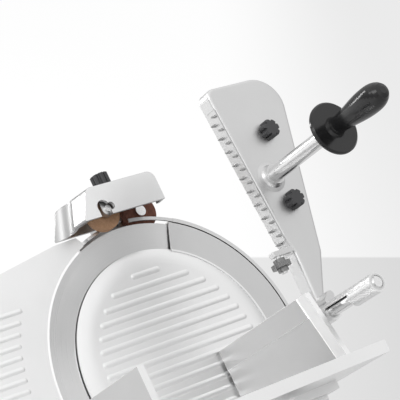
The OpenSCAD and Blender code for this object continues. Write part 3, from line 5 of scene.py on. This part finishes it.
import bpy
from mathutils import Euler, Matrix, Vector

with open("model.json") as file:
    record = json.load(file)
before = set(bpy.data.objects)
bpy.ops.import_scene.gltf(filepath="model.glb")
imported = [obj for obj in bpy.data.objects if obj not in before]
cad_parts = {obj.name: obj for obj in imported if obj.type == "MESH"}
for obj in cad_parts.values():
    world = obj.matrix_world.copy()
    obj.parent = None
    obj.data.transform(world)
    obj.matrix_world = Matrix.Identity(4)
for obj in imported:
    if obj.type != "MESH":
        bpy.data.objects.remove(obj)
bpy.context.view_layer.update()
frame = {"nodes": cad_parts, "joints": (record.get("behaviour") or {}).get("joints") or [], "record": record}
MM = 0.001

# The photograph's camera, fitted in the row frame without a shift.
CAMERA_AZIMUTH = math.radians(48.494)
CAMERA_ELEVATION = math.radians(19.697)
CAMERA_PLACE = Vector((1201.792, -999.64, 982.651)) * MM
CAMERA_LENS = 155.839
SENSOR_WIDTH = 36.0
CAMERA_NEAR = 0.05
CAMERA_FAR = 50.0

# The blade: its centre, its axis, and the lean of its plane from upright.
blade_spin = next(joint for joint in frame["joints"] if joint["name"] == "blade_spin")
BLADE_CENTRE = Vector(blade_spin["pos_m"])
BLADE_AXIS = Vector(blade_spin["axis"])
BLADE_TILT = math.atan2(BLADE_AXIS.z, BLADE_AXIS.x)
SLICING_TURN = Euler((math.pi / 2 - BLADE_TILT, 0, math.pi / 2), "XYZ")

# The centre disc of the blade's cover; the cover's rim lies beyond it.
COVER_DISC_RADIUS = 120.5 * MM
DISC_EDGE_BLUR = 0.3 * MM

# The front of the row frame.
FRONT = Vector((0, -1, 0))

# Cosines between a rounded and a true normal, where edge wear starts and where it is full.
EDGE_START = 0.98
EDGE_FULL = 0.75
EDGE_SAMPLES = 4

# Places of the colour sockets on a Mix node, whose names repeat.
MIX_FIRST = 6
MIX_SECOND = 7
MIX_RESULT = 2


# Node helpers

def new_material(name):
    """A material with its node tree, its Principled shader and an object coordinate."""
    material = bpy.data.materials.new(name)
    material.use_nodes = True
    tree = material.node_tree
    shader = tree.nodes["Principled BSDF"]
    coordinate = tree.nodes.new("ShaderNodeTexCoord").outputs["Object"]
    return material, tree, shader, coordinate


def plug(tree, socket, value):
    """Feeds a socket from another one, or sets its value."""
    if isinstance(value, bpy.types.NodeSocket):
        tree.links.new(value, socket)
    else:
        socket.default_value = value


def feed(tree, node, **inputs):
    """Plugs a node's inputs by name, with underscores for spaces."""
    for key, value in inputs.items():
        plug(tree, node.inputs[key.replace("_", " ")], value)


def add_node(tree, kind, settings=None, **inputs):
    node = tree.nodes.new(kind)
    for key, value in (settings or {}).items():
        setattr(node, key, value)
    feed(tree, node, **inputs)
    return node


def calculate(tree, operation, *operands, kind="ShaderNodeMath"):
    """The number that a Math or Vector Math node makes of its operands."""
    node = add_node(tree, kind, {"operation": operation})
    for socket, operand in zip(node.inputs, operands):
        plug(tree, socket, operand)
    return node.outputs["Value"]


def remap(tree, value, start, end, low=0.0, high=1.0, curve="LINEAR"):
    """Maps the range from start to end onto the one from low to high, and holds it outside."""
    node = add_node(tree, "ShaderNodeMapRange", {"interpolation_type": curve}, Value=value,
                    From_Min=start, From_Max=end, To_Min=low, To_Max=high)
    return node.outputs["Result"]


def spread(tree, pattern, low, high):
    """Maps a pattern of 0 to 1 to a range."""
    return remap(tree, pattern, 0.0, 1.0, low, high)


def noise(tree, vector, scale, detail=3.0, roughness=0.55):
    node = add_node(tree, "ShaderNodeTexNoise", Vector=vector, Scale=scale, Detail=detail,
                    Roughness=roughness)
    return node.outputs["Fac"]


def tone(grey):
    return (grey, grey, grey)


def shades(tree, value, *stops):
    """A colour ramp through (place, colour) stops."""
    ramp = add_node(tree, "ShaderNodeValToRGB", Fac=value)
    elements = ramp.color_ramp.elements
    while len(elements) < len(stops):
        elements.new(0.5)
    for element, (place, colour) in zip(elements, stops):
        element.position = place
        element.color = (*colour, 1)
    return ramp.outputs["Color"]


def two_tone(tree, pattern, dark, light, low=0.3, high=0.7):
    """Goes from a dark to a light colour over the middle of a pattern."""
    return shades(tree, pattern, (low, dark), (high, light))


def blend(tree, factor, first, second):
    """Mixes two colours; each is a socket or three numbers."""
    mix = add_node(tree, "ShaderNodeMix", {"data_type": "RGBA"}, Factor=factor)
    for place, colour in ((MIX_FIRST, first), (MIX_SECOND, second)):
        is_socket = isinstance(colour, bpy.types.NodeSocket)
        plug(tree, mix.inputs[place], colour if is_socket else (*colour, 1))
    return mix.outputs[MIX_RESULT]


def bump(tree, height, strength, distance, normal=None):
    node = add_node(tree, "ShaderNodeBump", Height=height, Strength=strength, Distance=distance)
    if normal is not None:
        feed(tree, node, Normal=normal)
    return node.outputs["Normal"]


def slicing_coordinate(tree, coordinate):
    """Coordinates along the travel, up the blade plane and out of it, from the blade's centre."""
    node = add_node(tree, "ShaderNodeMapping", {"vector_type": "TEXTURE"}, Vector=coordinate,
                    Location=BLADE_CENTRE, Rotation=SLICING_TURN)
    return node.outputs["Vector"]


def slicing_streaks(tree, coordinate, density, detail, roughness):
    """Noise with a density of its own, per metre, along each direction of the slicing frame."""
    local = slicing_coordinate(tree, coordinate)
    stretched = add_node(tree, "ShaderNodeMapping", Vector=local, Scale=density).outputs["Vector"]
    return noise(tree, stretched, 1.0, detail, roughness)


def axis_radius(tree, coordinate):
    """Distance from the blade's axis."""
    parts = add_node(tree, "ShaderNodeSeparateXYZ", Vector=slicing_coordinate(tree, coordinate)).outputs
    flat = add_node(tree, "ShaderNodeCombineXYZ", X=parts["X"], Y=parts["Y"])
    return calculate(tree, "LENGTH", flat.outputs["Vector"], kind="ShaderNodeVectorMath")


def dot_product(tree, first, second):
    return calculate(tree, "DOT_PRODUCT", first, second, kind="ShaderNodeVectorMath")


def surface_normal(tree):
    return tree.nodes.new("ShaderNodeNewGeometry").outputs["Normal"]


# Masks

def edge_mask(tree, radius):
    """Near 1 on edges, where the rounded normal leaves the true one, and 0 on open faces."""
    rounded = add_node(tree, "ShaderNodeBevel", {"samples": EDGE_SAMPLES}, Radius=radius).outputs["Normal"]
    return remap(tree, dot_product(tree, rounded, surface_normal(tree)), EDGE_START, EDGE_FULL)


def beyond_radius(limit):
    """A mask of what lies outside a circle about the blade's axis."""
    def mask(tree, coordinate):
        return remap(tree, axis_radius(tree, coordinate), limit - DISC_EDGE_BLUR, limit + DISC_EDGE_BLUR)
    return mask


def faces_along(direction, start, full):
    """A mask of the faces that point along a direction, with which light or shade is painted by facing; start
    and full are cosines to it.
    """
    def mask(tree, _coordinate):
        local = add_node(tree, "ShaderNodeVectorTransform",
                         {"vector_type": "NORMAL", "convert_from": "WORLD", "convert_to": "OBJECT"},
                         Vector=surface_normal(tree))
        return remap(tree, dot_product(tree, local.outputs["Vector"], direction), start, full)
    return mask


# Finishes

def cast_metal(name, grey, roughness, patch=None):
    """Satin cast aluminium: slow waves, faint clouding, a fine grain and brighter edges.

    A patch is a mask and its grey: masked by facing direction it is painted light or shade, masked by a
    region it is the part's own tone.
    """
    material, tree, shader, coordinate = new_material(name)
    waves = noise(tree, coordinate, scale=13, detail=1)
    cloud = noise(tree, coordinate, scale=14, detail=4)
    fine = noise(tree, coordinate, scale=900, detail=2, roughness=0.6)
    base = two_tone(tree, cloud, tone(grey * 0.97), tone(grey))
    if patch:
        mask, patch_grey = patch
        patched = two_tone(tree, cloud, tone(patch_grey * 0.96), tone(patch_grey))
        base = blend(tree, mask(tree, coordinate), base, patched)
    worn = blend(tree, edge_mask(tree, radius=0.9 * MM), base, tone(min(grey * 1.06, 0.97)))
    wavy = bump(tree, waves, strength=1.0, distance=1.6 * MM)
    feed(tree, shader, Base_Color=worn, Metallic=1.0,
         Roughness=spread(tree, fine, roughness * 0.85, roughness * 1.15),
         Normal=bump(tree, fine, strength=0.06, distance=0.15 * MM, normal=wavy))
    return material


def brushed_metal(name, grey, roughness, density, patch=None):
    """Brushed metal with streaks along the slicing frame's least dense direction.

    A patch is a mask and its grey; masked by facing direction it is painted light or shade.
    """
    material, tree, shader, coordinate = new_material(name)
    streaks = slicing_streaks(tree, coordinate, density, detail=4, roughness=0.7)
    base = two_tone(tree, streaks, tone(grey * 0.94), tone(grey), low=0.25, high=0.75)
    if patch:
        mask, patch_grey = patch
        base = blend(tree, mask(tree, coordinate), base, tone(patch_grey))
    feed(tree, shader, Base_Color=base, Metallic=1.0,
         Roughness=spread(tree, streaks, roughness * 0.8, roughness * 1.25),
         Normal=bump(tree, streaks, strength=0.08, distance=0.1 * MM))
    return material


def turned_metal(name, grey, roughness, pitch):
    """Ground steel: fine concentric lines about the blade's axis, under a slow painted sheen of lighter and
    darker patches.
    """
    material, tree, shader, coordinate = new_material(name)
    lines = add_node(tree, "ShaderNodeTexNoise", {"noise_dimensions": "1D"}, W=axis_radius(tree, coordinate),
                     Scale=1 / pitch, Detail=3.0, Roughness=0.7).outputs["Fac"]
    cloud = noise(tree, coordinate, scale=9, detail=2)
    painted_sheen = noise(tree, coordinate, scale=16, detail=1)
    dull = two_tone(tree, lines, tone(grey * 0.88), tone(grey * 0.94), low=0.2, high=0.8)
    bright = two_tone(tree, lines, tone(grey * 0.99), tone(grey * 1.06), low=0.2, high=0.8)
    line_roughness = spread(tree, lines, roughness * 0.8, roughness * 1.1)
    cloud_roughness = spread(tree, cloud, -0.03, 0.05)
    # The base colour blends a dull and a bright copy of the lines by the painted sheen, a painted reflection.
    feed(tree, shader, Base_Color=blend(tree, spread(tree, painted_sheen, -0.4, 1.4), dull, bright), Metallic=1.0,
         Roughness=calculate(tree, "ADD", line_roughness, cloud_roughness),
         Normal=bump(tree, lines, strength=0.12, distance=0.05 * MM))
    return material


def polished_metal(name, grey, roughness):
    """Polished chrome with hair lines along the blade's axis, as the handle's and the pusher's rods run."""
    material, tree, shader, coordinate = new_material(name)
    hair = slicing_streaks(tree, coordinate, (500, 500, 9), detail=3, roughness=0.6)
    feed(tree, shader, Base_Color=two_tone(tree, hair, tone(grey * 0.9), tone(grey)), Metallic=1.0,
         Roughness=spread(tree, hair, roughness * 0.9, roughness * 1.15))
    return material


def moulded_plastic(name, colour, roughness, coat=0.0, grain=0.05, grain_scale=1400):
    """Moulded plastic: slight mottling, a grain and scuffed edges."""
    material, tree, shader, coordinate = new_material(name)
    mottle = noise(tree, coordinate, scale=60)
    fine = noise(tree, coordinate, scale=grain_scale, detail=2)
    dark = [channel * 0.85 for channel in colour]
    scuff = [min(1, channel * 1.5 + 0.01) for channel in colour]
    base = two_tone(tree, mottle, dark, colour, low=0.35, high=0.65)
    feed(tree, shader, Base_Color=blend(tree, edge_mask(tree, radius=0.5 * MM), base, scuff),
         Coat_Weight=coat, Coat_Roughness=0.06,
         Roughness=spread(tree, mottle, roughness * 0.85, roughness * 1.2),
         Normal=bump(tree, fine, strength=grain, distance=0.2 * MM))
    return material


def abrasive_stone(name, light, dark):
    """Bonded abrasive: coarse grains with pits, clouded in two tones."""
    material, tree, shader, coordinate = new_material(name)
    grains = add_node(tree, "ShaderNodeTexVoronoi", Vector=coordinate, Scale=1100.0).outputs["Distance"]
    cloud = noise(tree, coordinate, scale=260, detail=4, roughness=0.7)
    feed(tree, shader, Base_Color=two_tone(tree, cloud, dark, light), Roughness=0.92,
         Normal=bump(tree, grains, strength=0.7, distance=0.4 * MM))
    return material


def black_rubber(name):
    material, tree, shader, coordinate = new_material(name)
    fine = noise(tree, coordinate, scale=700)
    feed(tree, shader, Base_Color=two_tone(tree, fine, tone(0.018), tone(0.03)),
         Roughness=spread(tree, fine, 0.75, 0.9), Normal=bump(tree, fine, strength=0.2, distance=0.2 * MM))
    return material


def oiled_bronze(name):
    material, tree, shader, coordinate = new_material(name)
    pores = noise(tree, coordinate, scale=900, roughness=0.7)
    feed(tree, shader, Base_Color=two_tone(tree, pores, (0.42, 0.29, 0.14), (0.62, 0.46, 0.25)), Metallic=1.0,
         Roughness=spread(tree, pores, 0.3, 0.5), Normal=bump(tree, pores, strength=0.1, distance=0.1 * MM))
    return material


SLOT_FINISH = {
    "cast_aluminium": cast_metal("cast_aluminium", grey=0.86, roughness=0.42),
    "stainless_steel": brushed_metal("stainless_steel", grey=0.7, roughness=0.3, density=(400, 400, 25)),
    "chromed_steel": polished_metal("chromed_steel", grey=0.86, roughness=0.17),
    "black_plastic": moulded_plastic("black_plastic", (0.012, 0.012, 0.0125), roughness=0.17, grain_scale=70),
    "grey_plastic": moulded_plastic("grey_plastic", (0.05, 0.05, 0.053), roughness=0.42, grain=0.06),
    "dark_metal": moulded_plastic("dark_metal", (0.1, 0.1, 0.105), roughness=0.5),
    "black_rubber": black_rubber("black_rubber"),
    "bronze": oiled_bronze("bronze"),
    "tan_stone": abrasive_stone("tan_stone", light=(0.5, 0.3, 0.18), dark=(0.36, 0.2, 0.11)),
    "brown_stone": abrasive_stone("brown_stone", light=(0.24, 0.1, 0.065), dark=(0.13, 0.05, 0.035)),
    "green_plastic": moulded_plastic("green_plastic", (0.03, 0.22, 0.08), roughness=0.25, coat=0.4,
                                     grain=0.02),
    "red_plastic": moulded_plastic("red_plastic", (0.42, 0.02, 0.02), roughness=0.25, coat=0.4, grain=0.02),
}

# Nodes whose finish in the photograph differs from their slot's.
NODE_FINISH = {
    "blade": turned_metal("ground_blade", grey=0.76, roughness=0.3, pitch=0.9 * MM),
    "blade_cover": cast_metal("bright_cover", grey=0.93, roughness=0.38,
                              patch=(beyond_radius(COVER_DISC_RADIUS), 0.66)),
    "ring_guard": cast_metal("guard_casting", grey=0.74, roughness=0.4),
    "gauge_plate": cast_metal("bright_gauge", grey=0.95, roughness=0.4),
    # The pusher plate's faces that point along the blade's axis get a darker grey: painted shade by facing.
    "pusher_plate": cast_metal("pusher_casting", grey=0.78, roughness=0.42,
                               patch=(faces_along(BLADE_AXIS, 0.8, 0.95), 0.71)),
    # Faces of the tray that point to the front get a much darker grey: painted shade by facing.
    "carriage_tray": cast_metal("tray_casting", grey=0.93, roughness=0.34,
                                patch=(faces_along(FRONT, 0.997, 0.9985), 0.6)),
    "pusher_sleeve": cast_metal("polished_sleeve", grey=0.86, roughness=0.36),
    # The sharpener housing is dark grey, and its faces that point along the blade's axis are light: painted
    # light and shade by facing.
    "sharpener_housing": cast_metal("sharpener_casting", grey=0.5, roughness=0.36,
                                    patch=(faces_along(BLADE_AXIS, 0.9, 0.97), 0.9)),
    "strip_nut": brushed_metal("knurled_steel", grey=0.27, roughness=0.35, density=(300, 300, 60)),
    # The tooth strip is darker grey, and its faces that point to the front are lighter: painted light and
    # shade by facing.
    "tooth_strip": brushed_metal("strip_steel", grey=0.5, roughness=0.32, density=(300, 20, 300),
                                 patch=(faces_along(FRONT, 0.9, 0.97), 0.72)),
}

slot_of = {part["node"]: part["material_slot"] for part in frame["record"]["subparts"]}
for name, piece in frame["nodes"].items():
    piece.data.materials.clear()
    piece.data.materials.append(NODE_FINISH.get(name) or SLOT_FINISH[slot_of[name]])


# Camera

def make_camera():
    back = Vector((math.sin(CAMERA_AZIMUTH) * math.cos(CAMERA_ELEVATION),
                   -math.cos(CAMERA_AZIMUTH) * math.cos(CAMERA_ELEVATION), math.sin(CAMERA_ELEVATION)))
    data = bpy.data.cameras.new("camera")
    data.lens = CAMERA_LENS
    data.sensor_width = SENSOR_WIDTH
    data.clip_start = CAMERA_NEAR
    data.clip_end = CAMERA_FAR
    camera = bpy.data.objects.new("camera", data)
    camera.location = CAMERA_PLACE
    camera.rotation_mode = "QUATERNION"
    camera.rotation_quaternion = (-back).to_track_quat("-Z", "Y")
    bpy.context.scene.collection.objects.link(camera)
    bpy.context.scene.camera = camera


# Stage and light

# Lengths on the floor run to the camera's right and away from it, from the origin.
FLOOR_HALF = 6.0
FLOOR_LINE = 0.92
FLOOR_LINE_BLUR = 0.004
# Painted shade on the floor: it greys to the camera's right, and more so on the near side of the line.
RIGHT_SHADE_FADE = (0.05, 0.45)
RIGHT_SHADE_GREY = 0.84
NEAR_SHADE_FADE = (-0.2, 0.05)
NEAR_SHADE_GREY = 0.81
FLOOR_GLOW = 0.75

# Greys of the sky by the height of its direction, from the horizon up.
SKY = ((0.0, tone(0.42)), (0.3, tone(0.62)), (0.62, tone(1.0)))

LIGHT_AIM = Vector((0, 0, 0.3))


def floor_finish():
    """White with painted shade that greys it to the right, and more so on the near side of the line; the glow
    keeps it pale.
    """
    material, tree, shader, coordinate = new_material("floor")
    turned = add_node(tree, "ShaderNodeMapping", {"vector_type": "TEXTURE"}, Vector=coordinate,
                      Rotation=(0, 0, CAMERA_AZIMUTH))
    place = add_node(tree, "ShaderNodeSeparateXYZ", Vector=turned.outputs["Vector"]).outputs
    right = remap(tree, place["X"], *RIGHT_SHADE_FADE, 1.0, RIGHT_SHADE_GREY, "SMOOTHSTEP")
    near_right_shade = remap(tree, place["X"], *NEAR_SHADE_FADE, 1.0, NEAR_SHADE_GREY, "SMOOTHSTEP")
    is_near = remap(tree, place["Y"], FLOOR_LINE - FLOOR_LINE_BLUR, FLOOR_LINE + FLOOR_LINE_BLUR, 1.0, 0.0)
    shade = calculate(tree, "MULTIPLY", right, calculate(tree, "POWER", near_right_shade, is_near))
    feed(tree, shader, Base_Color=shade, Roughness=0.8, Specular_IOR_Level=0.1)
    glow = add_node(tree, "ShaderNodeEmission", Color=shade, Strength=1.0)
    ray = tree.nodes.new("ShaderNodeLightPath").outputs
    seen = calculate(tree, "MAXIMUM", ray["Is Camera Ray"], ray["Is Glossy Ray"])
    mix = add_node(tree, "ShaderNodeMixShader", Fac=calculate(tree, "MULTIPLY", seen, FLOOR_GLOW))
    plug(tree, mix.inputs[1], shader.outputs["BSDF"])
    plug(tree, mix.inputs[2], glow.outputs["Emission"])
    feed(tree, tree.nodes["Material Output"], Surface=mix.outputs["Shader"])
    return material


def make_floor():
    """A pale floor that keeps the shadows."""
    corners = [(x * FLOOR_HALF, y * FLOOR_HALF, 0) for x, y in ((-1, -1), (1, -1), (1, 1), (-1, 1))]
    mesh = bpy.data.meshes.new("floor")
    mesh.from_pydata(corners, [], [(0, 1, 2, 3)])
    mesh.materials.append(floor_finish())
    floor = bpy.data.objects.new("floor", mesh)
    bpy.context.scene.collection.objects.link(floor)


def make_world():
    """A soft studio: bright overhead, greyer towards the horizon."""
    world = bpy.data.worlds.new("studio")
    world.use_nodes = True
    tree = world.node_tree
    direction = tree.nodes.new("ShaderNodeTexCoord").outputs["Generated"]
    height = add_node(tree, "ShaderNodeSeparateXYZ", Vector=direction).outputs["Z"]
    feed(tree, tree.nodes["Background"], Color=shades(tree, height, *SKY), Strength=1.0)
    bpy.context.scene.world = world


def area_light(name, place, size, power):
    """A lamp that faces LIGHT_AIM; its place and size are in metres, its power in watts."""
    data = bpy.data.lights.new(name, "AREA")
    data.shape = "RECTANGLE"
    data.size, data.size_y = size
    data.energy = power
    lamp = bpy.data.objects.new(name, data)
    lamp.location = place
    lamp.rotation_mode = "QUATERNION"
    lamp.rotation_quaternion = (LIGHT_AIM - Vector(place)).to_track_quat("-Z", "Y")
    bpy.context.scene.collection.objects.link(lamp)


make_camera()
make_floor()
make_world()
area_light("left_strip", place=(-1.9, -0.7, 0.9), size=(0.22, 1.2), power=11)
area_light("front_top", place=(0.1, -1.8, 2.0), size=(1.6, 1.0), power=12)

bpy.context.scene.view_settings.view_transform = "Standard"
